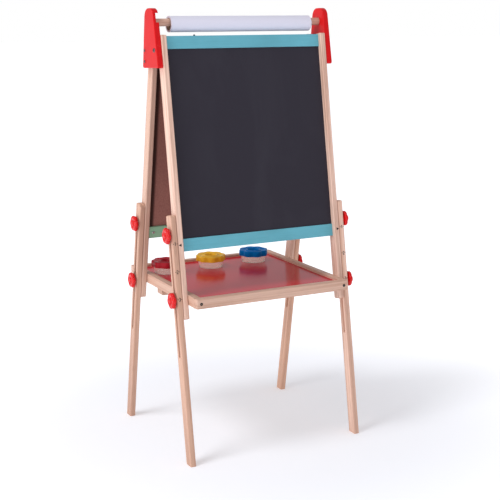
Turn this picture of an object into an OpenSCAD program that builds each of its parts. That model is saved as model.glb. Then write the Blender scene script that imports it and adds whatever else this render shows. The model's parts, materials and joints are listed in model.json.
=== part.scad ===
// Children's two-sided standing easel: two leaning frames under a pair of roll brackets,
// sliding legs clamped by lobed knobs, a tray between the frames, a paper roll and three paint pots.
// X runs across the easel, the chalkboard side faces -Y and the floor is Z = 0.

/* [Overall] */
// Height of the top of the roll brackets above the floor
total_h = 1062; // [1040:1:1080]
// Distance between the outer faces of the rear posts
frame_w = 444; // [420:1:470]
// Lean of each frame away from vertical, in degrees
lean = 9.7; // [9:0.1:10.5]
// Height of the front frame's pivots
pivot_h = 966; // [955:1:975]
// Distance of each frame's middle plane from the easel's middle, at the pivots
pivot_y = 27; // [26:0.5:30]

/* [Laths] */
// Thickness of posts and legs, across the easel
lath_t = 14; // [13:0.5:16]
// Depth of posts and legs, front to back
lath_d = 27; // [25:0.5:30]
// Rounding of the laths' long edges
lath_r = 2.5; // [1:0.5:4]
// Gap between faces that slide on each other
slip = 0.3; // [0.2:0.05:0.5]

/* [Posts] */
// Length of a post above its pivot
post_up = 34.6; // [30:0.1:38]
// Length of a post below its pivot
post_down = 632.8; // [600:0.1:660]
// Distance of the rear frame's rails, knobs and post ends below those of the front frame
rear_drop = 4; // [0:0.5:6]
// Rounding of the posts' upper ends, seen from the side
post_top_r = 5; // [2:0.5:8]
// Rounding of the posts' lower ends, seen from the side
post_foot_r = 8; // [2:0.5:10]

/* [Rails and boards] */
// Height of the coloured rails
rail_h = 30; // [24:1:34]
// Thickness of the coloured rails
rail_t = 12; // [10:0.5:14]
// Distance of the rails' faces behind the posts' faces
rail_setback = 10; // [8:0.5:11]
// Distance of the top rail's lower edge above the pivots
top_rail_low = 2.5; // [0:0.5:4]
// Distance of the bottom rail's upper edge below the pivots
bottom_rail_top = 442.5; // [420:0.5:450]
// Thickness of the drawing surfaces
face_t = 1; // [0.6:0.1:1.5]
// Thickness of the hardboard behind them
backing_t = 3; // [2.5:0.1:4]
// Depth of the boards' grooves
groove_d = 5; // [3:0.5:6]
// Distance of the boards behind the rails' faces
board_setback = 3; // [1:0.5:4]

/* [Brackets] */
// Thickness of the roll brackets
bracket_t = 14.5; // [14:0.5:16]
// Height of the roll brackets' lower edges
bracket_low = 924; // [915:1:935]
// Width of the brackets at the lower edge
bracket_w_low = 92.4; // [84:0.2:94]
// Width of the brackets at the top, before rounding
bracket_w_top = 47; // [44:0.5:54]
// Tilt of the brackets towards the rear, in degrees
bracket_tilt = 2.3; // [0:0.1:3]
// Rounding of the brackets' upper corners
bracket_top_r = 21; // [8:0.5:22]
// Rounding of the brackets' lower corners
bracket_low_r = 5; // [1:0.5:8]
// Depth of the dowel's seats in the brackets
seat_depth = 8; // [6:0.5:9]
// Height of the top of the lip in front of the open seat
lip_h = 1029.7; // [1028:0.1:1033]
// Height of the underside of the hook above the open seat
hook_h = 1051; // [1048:0.5:1053]
// Distance of the seats behind the middle
seat_y = 2.5; // [0:0.5:4]

/* [Dowel and paper] */
// Diameter of the dowel
dowel_d = 18; // [16:0.5:19]
// Height of the dowel's axis
dowel_h = 1029; // [1027:0.5:1031]
// Length of the paper roll
roll_len = 380; // [350:1:400]
// Diameter of the paper roll
roll_d = 38; // [34:0.5:40]
// Outer diameter of the cardboard core
core_d = 30; // [29:0.5:33]
// Bore of the cardboard core
core_bore = 26.6; // [26:0.1:28]
// Distance of the roll's middle to the right of the easel's middle
roll_x = 3.6; // [-8:0.2:8]

/* [Legs and knobs] */
// Distance of the legs' tops below the pivots
leg_top = 384.4; // [370:0.1:400]
// Rounding of the legs' tops, seen from the side
leg_top_r = 7; // [3:0.5:10]
// Rounding of the legs' tops, seen from the front
leg_top_side_r = 4; // [2:0.5:6]
// Distance of the upper knobs below the pivots
upper_knob = 432; // [425:1:440]
// Distance of the lower knobs below the pivots
lower_knob = 585; // [580:1:590]
// Width of the slots in the legs
slot_w = 8.4; // [7:0.1:10]
// Distance the legs slide
leg_travel = 131; // [100:1:133]
// Diameter over the lobes of a knob
knob_d = 40; // [34:1:42]
// Thickness of a knob's lobes
knob_t = 8.5; // [7:0.5:10]
// Diameter of the knobs' studs
stud_d = 6; // [5:0.5:6]

/* [Tray] */
// Height of the tray's underside
tray_low = 377; // [374:1:380]
// Height of the tray's rails
tray_h = 24; // [22:1:28]
// Thickness of the tray's rails
tray_rail_t = 18; // [15:0.5:20]
// Distance of the tray's front face before the middle
tray_front = 185; // [180:1:190]
// Distance of the tray's rear face behind the middle
tray_back = 226; // [215:1:230]
// Depth of the tray's floor below the tops of its rails
tray_floor_drop = 6; // [4:0.5:10]
// Thickness of the tray's floor
tray_floor_t = 4; // [3:0.5:5]
// Width of the batten under the tray
batten_w = 28; // [24:1:32]
// Thickness of the batten under the tray
batten_t = 14; // [12:0.5:16]
// Distance of the batten's middle behind the middle
batten_y = 38; // [30:1:45]

/* [Paint pots] */
// Height of a pot with its lid
pot_h = 33; // [30:1:36]
// Diameter of a cup at its rim
cup_d = 68; // [64:1:70]
// Diameter of a cup at its foot
cup_foot_d = 62; // [58:1:64]
// Height of a cup
cup_h = 26; // [24:1:28]
// Wall thickness of the cups and lids
pot_wall = 1.8; // [1.5:0.1:2.5]
// Diameter over the lobes of a lid
lid_d = 78; // [76:1:82]
// Distance between neighbouring pots
pot_pitch = 130; // [110:1:135]
// Place of the middle pot across the easel
pot_x = -18; // [-20:1:10]
// Distance of the left pot behind the middle
pot_left_y = 126; // [120:0.5:155]
// Distance of the middle pot behind the middle
pot_middle_y = 133.5; // [120:0.5:155]
// Distance of the right pot behind the middle
pot_right_y = 139.5; // [120:0.5:155]

/* [Hidden] */
$fn = 64;

left = -1;
right = 1;
front = -1;
rear = 1;

wood = "burlywood";
teal = "cadetblue";
green = "mediumseagreen";
red = "red";
steel = "silver";
brown = "sienna";

// A cut that runs past the surface it opens
over = 1;
// Radial clearance of a shaft that turns in its hole
running = 0.05;
// Radial play of the dowel in its seats
seat_play = 0.75;
// Height of a seat's axis above the axis of the dowel that rests in it
seat_rise = 0.45;

// Where the laths lie across the easel
rear_out = frame_w / 2;
rear_in = rear_out - lath_t;
front_out = rear_out - slip;
front_in = front_out - lath_t;
leg_in = rear_out + slip;
leg_out = leg_in + lath_t;
bracket_out = rear_out + bracket_t;

// Layers through a frame, measured from its middle plane, outer side negative
rail_face = -lath_d / 2 + rail_setback;
board_face = rail_face + board_setback;
board_mid = board_face + face_t;
board_back = board_mid + backing_t;
board_high = top_rail_low + groove_d;
board_low = -bottom_rail_top - groove_d;
bottom_rail_low = -bottom_rail_top - rail_h;

// Wooden pins at the rails' ends, at two heights in each rail
pin_d = 6;
pin_len = 18;
pin_in_post = 8;
pin_low = 10.5;
pin_high = 22;
pin_heights = [top_rail_low + pin_low, top_rail_low + pin_high,
    -bottom_rail_top - pin_low, -bottom_rail_top - pin_high];

seat_r = dowel_d / 2 + seat_play;
seat_h = dowel_h + seat_rise;
dowel_end_play = 0.5;
dowel_half = rear_out + seat_depth - dowel_end_play;
roll_h = dowel_h + dowel_d / 2 + slip - core_bore / 2;

insert_d = 10;
insert_len = 8;
// The front posts turn on their topmost nuts, and the knobs clamp into the others
front_nut_heights = [0, -upper_knob, -lower_knob];
screw_head_r = 3.6;
screw_head_t = 2;
screw_r = 1.8;
// Screws from a bracket into its rear post, as [y, z] in the rear frame's own space
bracket_screws = [[-2.7, 1.6], [1.2, -24]];
bracket_screw_grip = 22;
bolt_head_r = 5;
bolt_head_t = 2.5;
// Short screws in the inner face of the rear frame's bottom rail
rail_screw_x = 195;
rail_screw_grip = 6;
// Dark screw in the top edge of the front frame's top rail
edge_screw_x = -130;
edge_screw_grip = 12;
edge_screw_head_t = 3;
edge_screw_head_r = 2.5;

// Middles of the round ends of the legs' slots, below the pivots
slot_play = 1;
slot_high = upper_knob + stud_d / 2 - slot_w / 2 + slot_play;
slot_low = lower_knob + leg_travel + slot_w / 2 - stud_d / 2 + slot_play;
// Length of the laths that the floor cuts level
leg_reach = 1.2 * pivot_h;

washer_d = 17;
washer_t = 1.2;
washer_in = leg_out + slip;
knob_in = washer_in + washer_t + slip;
knob_neck_d = 20;
knob_neck_t = 2.4;
knob_lobes = 6;
knob_lobe_r = 6.5;
knob_core_r = 14;
knob_dome_t = 2.5;
knob_dome_r = 8;
stud_in_knob = 6;
stud_end = front_out - insert_len + over;
tray_insert_len = 12;

tray_side = rear_out - lath_t - 2 * slip;
tray_inner = tray_side - tray_rail_t;
tray_top = tray_low + tray_h;
tray_floor_high = tray_top - tray_floor_drop;
tray_pivot_y = pivot_y + (lower_knob + rear_drop) * sin(lean);
tray_pivot_h = pivot_h - (lower_knob + rear_drop) * cos(lean);
tray_head_t = 1;
tray_screw_x = 195.3;
tray_screw_grip = 36;
batten_screw_grip = 24;
batten_half = tray_side - 1.4;
batten_end_r = 4;
batten_edge_r = 1;

// The front feet and the heads of the tray's rear screws are equally far from the origin
foot_drop = (pivot_h + lath_d / 2 * sin(lean)) / cos(lean);
foot_front = pivot_y + lath_d / 2 * cos(lean) + foot_drop * sin(lean);
mid_y = (foot_front - tray_back - tray_head_t) / 2;

pot_ys = [pot_left_y, pot_middle_y, pot_right_y];
lid_low = 18;
lid_skirt_r = cup_d / 2 + slip;
lid_lobes = 8;
lid_core_r = 36;
lid_lobe_r = 12;
funnel_r = 15;
funnel_mouth_r = 5;
funnel_low = 12;

// Moves the easel, drawn about the middle between its pivots, over the origin
module centred() {
    translate([0, mid_y, 0])
        children();
}

// Unit vector along v
function unit(v) = v / norm(v);
// Half of the angle at corner p between its neighbours a and b
function half_angle(a, p, b) = acos(unit(a - p) * unit(b - p)) / 2;
// Neighbours of corner i in a closed outline
function before(pts, i) = pts[(i + len(pts) - 1) % len(pts)];
function after(pts, i) = pts[(i + 1) % len(pts)];

// Convex outline whose corners are rounded, one radius per corner
module rounded_outline(pts, radii) {
    polygon([for (i = [0 : len(pts) - 1])
        for (next = [before(pts, i), after(pts, i)])
            pts[i] + unit(next - pts[i]) * radii[i]
                / tan(half_angle(before(pts, i), pts[i], after(pts, i)))]);
    for (i = [0 : len(pts) - 1]) {
        a = before(pts, i);
        b = after(pts, i);
        bisector = unit(unit(a - pts[i]) + unit(b - pts[i]));
        translate(pts[i] + bisector * radii[i] / sin(half_angle(a, pts[i], b)))
            circle(r = radii[i]);
    }
}

// Side outline, drawn as [y, z], given a thickness along X from x0 to x1
module across(x0, x1) {
    translate([x0, 0, 0])
        rotate([90, 0, 90])
            linear_extrude(height = x1 - x0)
                children();
}

// Cylinder along X from x0 to x1
module rod_x(x0, x1, r, y = 0, z = 0) {
    translate([x0, y, z])
        rotate([0, 90, 0])
            cylinder(h = x1 - x0, r = r);
}

// Children built for the right side, moved to the stated side
module on_side(side) {
    if (side == left)
        mirror([1, 0, 0]) children();
    else
        children();
}

// Children built in a frame's own space: its posts along Z, its outer face towards -Y and the
// origin on the pivot line, which the rear frame lies below
module frame_place(which) {
    centred()
        if (which == rear)
            mirror([0, 1, 0]) leaning() translate([0, 0, -rear_drop]) children();
        else
            leaning() children();
}

module leaning() {
    translate([0, -pivot_y, pivot_h])
        rotate([-lean, 0, 0])
            children();
}

// Upright lath with rounded long edges, from z0 up to z1. Its ends are rounded by low_r and
// high_r as seen from the side, and by side_r as seen from the front.
module lath(x0, z0, z1, low_r, high_r, side_r) {
    half = lath_d / 2;
    x1 = x0 + lath_t;
    intersection() {
        across(x0 - over, x1 + over)
            rounded_outline([[-half, z0], [half, z0], [half, z1], [-half, z1]],
                [low_r, low_r, high_r, high_r]);
        translate([0, half + over, 0])
            rotate([90, 0, 0])
                linear_extrude(height = lath_d + 2 * over)
                    rounded_outline([[x0, z0], [x1, z0], [x1, z1], [x0, z1]],
                        [side_r, side_r, side_r, side_r]);
        translate([x0, -half, z0 - over])
            linear_extrude(height = z1 - z0 + 2 * over)
                rounded_outline([[0, 0], [lath_t, 0], [lath_t, lath_d], [0, lath_d]],
                    [lath_r, lath_r, lath_r, lath_r]);
    }
}

// Pins, or with a larger radius their holes, at one side of a frame
module pins(x_in, r) {
    for (z = pin_heights)
        rod_x(x_in + pin_in_post - pin_len, x_in + pin_in_post, r,
            rail_face + rail_t / 2, z);
}

// Hole for an insert nut and the stud in it
module insert_hole(x_out, z) {
    rod_x(x_out - insert_len, x_out + over, insert_d / 2 + running, 0, z);
}

module post(which, side, x_in) {
    color(wood)
        frame_place(which)
            on_side(side)
                difference() {
                    lath(x_in, -post_down, post_up, post_foot_r, post_top_r, lath_r);
                    translate([x_in - over, board_face, board_low])
                        cube([groove_d + over, face_t + backing_t, board_high - board_low]);
                    pins(x_in, pin_d / 2 + running);
                    insert_hole(x_in + lath_t, -upper_knob);
                    if (which == front) {
                        insert_hole(x_in + lath_t, 0);
                        insert_hole(x_in + lath_t, -lower_knob);
                    } else {
                        rod_x(x_in - over, x_in + lath_t + over, stud_d / 2 + running,
                            0, -lower_knob);
                        for (at = bracket_screws)
                            rod_x(x_in + groove_d, x_in + lath_t + over, screw_r, at.x, at.y);
                    }
                }
}

// Rail between the posts, with a groove for the board along one edge
module rail(which, x_in, z0, board_above, shade) {
    groove_z = board_above ? z0 + rail_h - groove_d : z0;
    color(shade)
        frame_place(which)
            difference() {
                translate([-x_in, rail_face, z0])
                    cube([2 * x_in, rail_t, rail_h]);
                translate([-x_in - over, board_face, board_above ? groove_z : groove_z - over])
                    cube([2 * x_in + 2 * over, face_t + backing_t, groove_d + over]);
                for (side = [left, right])
                    on_side(side)
                        pins(x_in, pin_d / 2 + running);
            }
}

module board_sheet(which, x_in, y0, t, shade) {
    half = x_in + groove_d - slip;
    color(shade)
        frame_place(which)
            translate([-half, y0, board_low])
                cube([2 * half, t, board_high - board_low]);
}

module rail_pins(which, x_in) {
    color(wood)
        frame_place(which)
            for (side = [left, right])
                on_side(side)
                    pins(x_in, pin_d / 2);
}

// Threaded inserts in the posts of one frame
module insert_nuts(which, x_out, heights) {
    color(steel)
        frame_place(which)
            for (side = [left, right])
                on_side(side)
                    for (z = heights)
                        difference() {
                            rod_x(x_out - insert_len, x_out, insert_d / 2, 0, z);
                            rod_x(x_out - insert_len - over, x_out + over,
                                stud_d / 2 + running, 0, z);
                        }
}

module washers(which) {
    color(steel)
        frame_place(which)
            for (side = [left, right])
                on_side(side)
                    for (z = [-upper_knob, -lower_knob])
                        difference() {
                            rod_x(washer_in, washer_in + washer_t, washer_d / 2, 0, z);
                            rod_x(washer_in - over, washer_in + washer_t + over,
                                stud_d / 2 + running, 0, z);
                        }
}

// Screw along X with its head on the face at x
module screw_x(x, grip, y, z) {
    rod_x(x, x + screw_head_t, screw_head_r, y, z);
    rod_x(x - grip, x, screw_r, y, z);
}

module rear_screws() {
    color(steel)
        frame_place(rear)
            for (side = [left, right])
                on_side(side) {
                    for (at = bracket_screws)
                        screw_x(bracket_out, bracket_screw_grip, at.x, at.y);
                    rail_screw_place()
                        screw_x(0, rail_screw_grip, 0, 0);
                }
}

// Right-hand rail screw's head, seated on the rail's inner face
module rail_screw_place() {
    translate([rail_screw_x, rail_face + rail_t, -bottom_rail_top - rail_h / 2])
        rotate([0, 0, 90])
            children();
}

module rear_bottom_rail() {
    color(green)
        difference() {
            rail(rear, rear_in, bottom_rail_low, true, green);
            frame_place(rear)
                for (side = [left, right])
                    on_side(side)
                        rail_screw_place()
                            rod_x(-rail_screw_grip, over, screw_r);
        }
}

// Bracket's side outline, turned a little towards the rear about the pivots' height
module bracket_outline() {
    low = bracket_w_low / 2;
    top = bracket_w_top / 2;
    top_h = total_h - (top - bracket_top_r) * sin(bracket_tilt);
    translate([0, pivot_h])
        rotate(-bracket_tilt)
            translate([0, -pivot_h])
                rounded_outline([[-low, bracket_low], [low, bracket_low], [top, top_h], [-top, top_h]],
                    [bracket_low_r, bracket_low_r, bracket_top_r, bracket_top_r]);
}

// Open seat: a pocket behind a lip, entered from the front under a hook
module open_seat() {
    mouth = bracket_w_low;
    translate([seat_y, seat_h])
        circle(r = seat_r);
    translate([seat_y - seat_r, seat_h])
        square([2 * seat_r, hook_h - seat_h]);
    translate([seat_y - mouth, lip_h])
        square([mouth, hook_h - lip_h]);
}

module round_seat() {
    translate([seat_y, seat_h])
        circle(r = seat_r);
}

// Roll bracket; the left one's seat is open to the front, the right one's is a blind hole
module bracket(side) {
    color(red)
        on_side(side)
            difference() {
                centred()
                    across(rear_out, bracket_out)
                        bracket_outline();
                centred()
                    across(rear_out - over, rear_out + seat_depth)
                        if (side == left)
                            open_seat();
                        else
                            round_seat();
                frame_place(front)
                    rod_x(rear_out - over, bracket_out + over, stud_d / 2 + running);
                frame_place(rear)
                    for (at = bracket_screws)
                        rod_x(rear_out - over, bracket_out + over, screw_r, at.x, at.y);
            }
}

// Bolts on which the front frame's posts turn, through the brackets
module pivot_bolts() {
    color(steel)
        frame_place(front)
            for (side = [left, right])
                on_side(side) {
                    rod_x(bracket_out, bracket_out + bolt_head_t, bolt_head_r);
                    rod_x(stud_end, bracket_out, stud_d / 2);
                }
}

module edge_screw() {
    color("dimgray")
        frame_place(front)
            edge_screw_place() {
                cylinder(h = edge_screw_head_t, r = edge_screw_head_r);
                translate([0, 0, -edge_screw_grip])
                    cylinder(h = edge_screw_grip, r = screw_r);
            }
}

// Place of the dark screw on the top rail's upper edge
module edge_screw_place() {
    translate([edge_screw_x, rail_face + rail_t / 2, top_rail_low + rail_h])
        children();
}

module front_top_rail() {
    color(teal)
        difference() {
            rail(front, front_in, top_rail_low, false, teal);
            frame_place(front)
                edge_screw_place()
                    translate([0, 0, -edge_screw_grip])
                        cylinder(h = edge_screw_grip + over, r = screw_r);
        }
}

// Leg with its slot, cut level with the floor
module leg(which, side) {
    top = which == rear ? leg_top - rear_drop : leg_top;
    color(wood)
        intersection() {
            frame_place(which)
                on_side(side)
                    difference() {
                        lath(leg_in, -leg_reach, -top, lath_r, leg_top_r, leg_top_side_r);
                        for (z = [-slot_high, -slot_low])
                            rod_x(leg_in - over, leg_out + over, slot_w / 2, 0, z);
                        translate([leg_in - over, -slot_w / 2, -slot_low])
                            cube([lath_t + 2 * over, slot_w, slot_low - slot_high]);
                    }
            translate([-frame_w, -frame_w, 0])
                cube([2 * frame_w, 2 * frame_w, total_h]);
        }
}

// Lobed knob around the X axis, its neck starting at knob_in
module knob(which, side, drop) {
    lobe_at = knob_d / 2 - knob_lobe_r;
    lobes_in = knob_in + knob_neck_t;
    lobes_out = lobes_in + knob_t;
    color(red)
        frame_place(which)
            on_side(side)
                translate([0, 0, -drop])
                    difference() {
                        union() {
                            rod_x(knob_in, lobes_in, knob_neck_d / 2);
                            rod_x(lobes_in, lobes_out, knob_core_r);
                            for (i = [0 : knob_lobes - 1])
                                rotate([i * 360 / knob_lobes, 0, 0])
                                    rod_x(lobes_in, lobes_out, knob_lobe_r, lobe_at);
                            rod_x(lobes_out, lobes_out + knob_dome_t, knob_dome_r);
                        }
                        rod_x(knob_in - over, knob_in + stud_in_knob, stud_d / 2);
                    }
}

module stud(which, side, drop) {
    into_tray = which == rear && drop == lower_knob;
    inner_end = into_tray ? tray_side - tray_insert_len : stud_end;
    color(steel)
        frame_place(which)
            on_side(side)
                rod_x(inner_end, knob_in + stud_in_knob, stud_d / 2, 0, -drop);
}

// Floor panel held in the grooves of the tray's rails
module tray_floor() {
    color("crimson")
        centred()
            tray_panel();
}

module tray_panel() {
    half = tray_inner + groove_d;
    front_edge = -tray_front + tray_rail_t - groove_d;
    back_edge = tray_back - tray_rail_t + groove_d;
    translate([-half, front_edge, tray_floor_high - tray_floor_t])
        cube([2 * half, back_edge - front_edge, tray_floor_t]);
}

// Screw into the tray along -Z, its head standing on the face at Z = 0
module tray_screw(grip) {
    cylinder(h = tray_head_t, r = screw_head_r);
    translate([0, 0, -grip])
        cylinder(h = grip, r = screw_r);
}

// Solids of the tray's screws, or the holes they leave
module tray_screw_set() {
    for (x = [-tray_screw_x, tray_screw_x]) {
        translate([x, -tray_front, tray_low + tray_h / 2])
            rotate([90, 0, 0])
                tray_screw(tray_screw_grip);
        translate([x, tray_back, tray_low + tray_h / 2])
            rotate([-90, 0, 0])
                tray_screw(tray_screw_grip);
        translate([x, batten_y, tray_low - batten_t])
            rotate([180, 0, 0])
                tray_screw(batten_screw_grip);
    }
}

// Rail across the tray, its front face at y0
module tray_end_rail(y0) {
    color(wood)
        centred()
            difference() {
                translate([-tray_side, y0, tray_low])
                    cube([2 * tray_side, tray_rail_t, tray_h]);
                tray_panel();
                tray_screw_set();
            }
}

module tray_side_rail(side) {
    rail_len = tray_front + tray_back - 2 * tray_rail_t;
    color(wood)
        centred()
            difference() {
                on_side(side)
                    translate([tray_inner, -tray_front + tray_rail_t, tray_low])
                        cube([tray_rail_t, rail_len, tray_h]);
                tray_panel();
                tray_screw_set();
                on_side(side)
                    rod_x(tray_side - tray_insert_len, tray_side + over,
                        insert_d / 2 + running, tray_pivot_y, tray_pivot_h);
            }
}

// Batten across the tray's underside, its lower ends rounded
module tray_batten() {
    low = tray_low - batten_t;
    color(wood)
        centred()
            difference() {
                translate([0, batten_y + batten_w / 2, 0])
                    rotate([90, 0, 0])
                        linear_extrude(height = batten_w)
                            rounded_outline([[-batten_half, low], [batten_half, low],
                                [batten_half, tray_low], [-batten_half, tray_low]],
                                [batten_end_r, batten_end_r, batten_edge_r, batten_edge_r]);
                tray_screw_set();
            }
}

module tray_screws() {
    color(steel)
        centred()
            tray_screw_set();
}

// Threaded inserts that turn about the rear lower knobs' studs
module tray_insert_nuts() {
    color(steel)
        centred()
            for (side = [left, right])
                on_side(side)
                    difference() {
                        rod_x(tray_side - tray_insert_len, tray_side, insert_d / 2,
                            tray_pivot_y, tray_pivot_h);
                        rod_x(tray_side - tray_insert_len - over, tray_side + over,
                            stud_d / 2 + running, tray_pivot_y, tray_pivot_h);
                    }
}

module dowel() {
    color(wood)
        centred()
            rod_x(-dowel_half, dowel_half, dowel_d / 2, seat_y, dowel_h);
}

// Tube of the roll, hanging on the dowel
module roll_tube(d_out, d_in) {
    centred()
        translate([roll_x, seat_y, roll_h])
            difference() {
                rod_x(-roll_len / 2, roll_len / 2, d_out / 2);
                rod_x(-roll_len / 2 - over, roll_len / 2 + over, d_in / 2);
            }
}

module paper_core() {
    color("peru")
        roll_tube(core_d, core_bore);
}

module paper_roll() {
    color("white")
        roll_tube(roll_d, core_d);
}

// Pot number i from the left, standing on the tray's floor
module pot_place(i) {
    centred()
        translate([pot_x + (i - 1) * pot_pitch, pot_ys[i], tray_floor_high])
            children();
}

module cup(i) {
    foot = cup_foot_d / 2;
    rim = cup_d / 2;
    color("whitesmoke")
        pot_place(i)
            rotate_extrude()
                polygon([[0, 0], [foot, 0], [rim, cup_h], [rim - pot_wall, cup_h],
                    [foot - pot_wall, pot_wall], [0, pot_wall]]);
}

// Outline of a lid with lobes around its edge
module lid_outline() {
    circle(r = lid_core_r);
    for (k = [0 : lid_lobes - 1])
        rotate((k + 0.5) * 360 / lid_lobes)
            translate([lid_d / 2 - lid_lobe_r, 0])
                circle(r = lid_lobe_r);
}

// Lid over the cup's rim, with a funnel hanging from its middle
module lid(i, shade) {
    color(shade)
        pot_place(i)
            difference() {
                union() {
                    difference() {
                        translate([0, 0, lid_low])
                            linear_extrude(height = pot_h - lid_low)
                                lid_outline();
                        translate([0, 0, lid_low - over])
                            cylinder(h = cup_h + slip - lid_low + over, r = lid_skirt_r);
                    }
                    translate([0, 0, funnel_low])
                        cylinder(h = cup_h + over - funnel_low,
                            r1 = funnel_mouth_r + pot_wall, r2 = funnel_r + pot_wall);
                }
                translate([0, 0, funnel_low - over])
                    cylinder(h = pot_h - funnel_low + 2 * over, r1 = funnel_mouth_r, r2 = funnel_r);
            }
}

post(rear, left, rear_in);  // rear_post_left
post(rear, right, rear_in);  // rear_post_right
rail(rear, rear_in, top_rail_low, false, green);  // rear_top_rail
rear_bottom_rail();
board_sheet(rear, rear_in, board_face, face_t, "white");  // whiteboard
board_sheet(rear, rear_in, board_mid, backing_t, brown);  // whiteboard_backing
bracket(left);  // bracket_left
bracket(right);  // bracket_right
rear_screws();
pivot_bolts();
rail_pins(rear, rear_in);  // rear_rail_pins
insert_nuts(rear, rear_out, [-upper_knob]);  // rear_insert_nuts
washers(rear);  // rear_washers
post(front, left, front_in);  // front_post_left
post(front, right, front_in);  // front_post_right
front_top_rail();
rail(front, front_in, bottom_rail_low, true, teal);  // front_bottom_rail
board_sheet(front, front_in, board_face, face_t, "darkslategray");  // chalkboard
board_sheet(front, front_in, board_mid, backing_t, brown);  // chalkboard_backing
rail_pins(front, front_in);  // front_rail_pins
insert_nuts(front, front_out, front_nut_heights);  // front_insert_nuts
washers(front);  // front_washers
edge_screw();
leg(front, left);  // leg_front_left
leg(front, right);  // leg_front_right
leg(rear, left);  // leg_rear_left
leg(rear, right);  // leg_rear_right
knob(front, left, upper_knob);  // knob_front_left_upper
knob(front, left, lower_knob);  // knob_front_left_lower
knob(front, right, upper_knob);  // knob_front_right_upper
knob(front, right, lower_knob);  // knob_front_right_lower
knob(rear, left, upper_knob);  // knob_rear_left_upper
knob(rear, left, lower_knob);  // knob_rear_left_lower
knob(rear, right, upper_knob);  // knob_rear_right_upper
knob(rear, right, lower_knob);  // knob_rear_right_lower
stud(front, left, upper_knob);  // stud_front_left_upper
stud(front, left, lower_knob);  // stud_front_left_lower
stud(front, right, upper_knob);  // stud_front_right_upper
stud(front, right, lower_knob);  // stud_front_right_lower
stud(rear, left, upper_knob);  // stud_rear_left_upper
stud(rear, left, lower_knob);  // stud_rear_left_lower
stud(rear, right, upper_knob);  // stud_rear_right_upper
stud(rear, right, lower_knob);  // stud_rear_right_lower
tray_floor();
tray_end_rail(-tray_front);  // tray_front_rail
tray_end_rail(tray_back - tray_rail_t);  // tray_rear_rail
tray_side_rail(left);  // tray_left_rail
tray_side_rail(right);  // tray_right_rail
tray_batten();
tray_screws();
tray_insert_nuts();
dowel();
paper_core();
paper_roll();
cup(0);  // cup_left
cup(1);  // cup_middle
cup(2);  // cup_right
lid(0, "firebrick");  // lid_left
lid(1, "gold");  // lid_middle
lid(2, "royalblue");  // lid_right
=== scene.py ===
"""Looks of the children's easel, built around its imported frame. Lengths are in metres."""

import json
import math
import random

import bpy
from mathutils import Matrix, Vector
from mathutils.geometry import tessellate_polygon


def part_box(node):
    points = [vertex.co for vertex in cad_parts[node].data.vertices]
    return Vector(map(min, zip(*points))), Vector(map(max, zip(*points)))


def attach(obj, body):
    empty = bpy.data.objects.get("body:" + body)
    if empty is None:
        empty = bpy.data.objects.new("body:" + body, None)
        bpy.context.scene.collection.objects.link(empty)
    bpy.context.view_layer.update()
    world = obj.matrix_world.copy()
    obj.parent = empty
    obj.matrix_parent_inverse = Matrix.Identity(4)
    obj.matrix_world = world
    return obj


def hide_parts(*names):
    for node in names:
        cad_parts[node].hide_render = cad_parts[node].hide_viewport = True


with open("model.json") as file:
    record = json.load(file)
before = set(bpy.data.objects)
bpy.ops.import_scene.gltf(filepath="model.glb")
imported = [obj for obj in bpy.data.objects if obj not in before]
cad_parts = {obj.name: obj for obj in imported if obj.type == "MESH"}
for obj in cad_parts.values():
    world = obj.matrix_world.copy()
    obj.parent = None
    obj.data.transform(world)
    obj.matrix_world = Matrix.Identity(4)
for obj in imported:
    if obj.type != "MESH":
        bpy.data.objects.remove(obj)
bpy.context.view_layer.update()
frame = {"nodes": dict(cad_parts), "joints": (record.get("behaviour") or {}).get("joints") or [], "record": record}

MM = 0.001
FRAMES = ("front", "rear")
SIDES = ("left", "right")
LEVELS = ("upper", "lower")
OUTWARD = {"left": -1.0, "right": 1.0}
# Angles in degrees above which an edge between two faces stays sharp
SMOOTH_ANGLE = 40.0
CUT_SMOOTH_ANGLE = 30.0

joints = {joint["name"]: joint for joint in frame["joints"]}
bodies = frame["record"]["behaviour"]["bodies"]
body_of_node = {node: body for body, nodes in bodies.items() for node in nodes}
slot_of_node = {part["node"]: part["material_slot"] for part in frame["record"]["subparts"]}


# ---------------------------------------------------------------- places in the frame

def middle(node):
    low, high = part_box(node)
    return (low + high) / 2


front_pivot = Vector((0.0, *joints["front_fold"]["pos_m"][1:]))
lath_up = Vector(joints["slide_front_left"]["axis"])
lean = math.atan2(lath_up.y, lath_up.z)
middle_y = (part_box("leg_front_left")[0].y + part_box("leg_rear_left")[1].y) / 2

# The rear frame hangs a little lower on the brackets than the front one's mirror image
knob_heights = [joints[f"turn_{which}_left_lower"]["pos_m"][2] for which in FRAMES]
rear_drop = (knob_heights[0] - knob_heights[1]) / math.cos(lean)

# A frame's own space has its pivot line at the origin, Z up along its posts and -Y outwards
front_space = Matrix.Translation(front_pivot) @ Matrix.Rotation(-lean, 4, "X")
about_middle = Matrix.Translation((0.0, middle_y, 0.0))
half_turn = about_middle @ Matrix.Rotation(math.pi, 4, "Z") @ about_middle.inverted()
SPACE = {"front": front_space,
         "rear": half_turn @ front_space @ Matrix.Translation((0.0, 0.0, -rear_drop))}

# Planes that outlines are drawn in: (u, v, thickness) to (x, y, z)
SIDE_PLANE = Matrix(((0, 0, 1, 0), (1, 0, 0, 0), (0, 1, 0, 0), (0, 0, 0, 1)))
FACE_PLANE = Matrix(((1, 0, 0, 0), (0, 0, -1, 0), (0, 1, 0, 0), (0, 0, 0, 1)))


def side_in(which, side):
    """+1 or -1: the way that this side of the easel lies along X in that frame's own space."""
    return OUTWARD[side] * (1.0 if which == "front" else -1.0)


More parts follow.
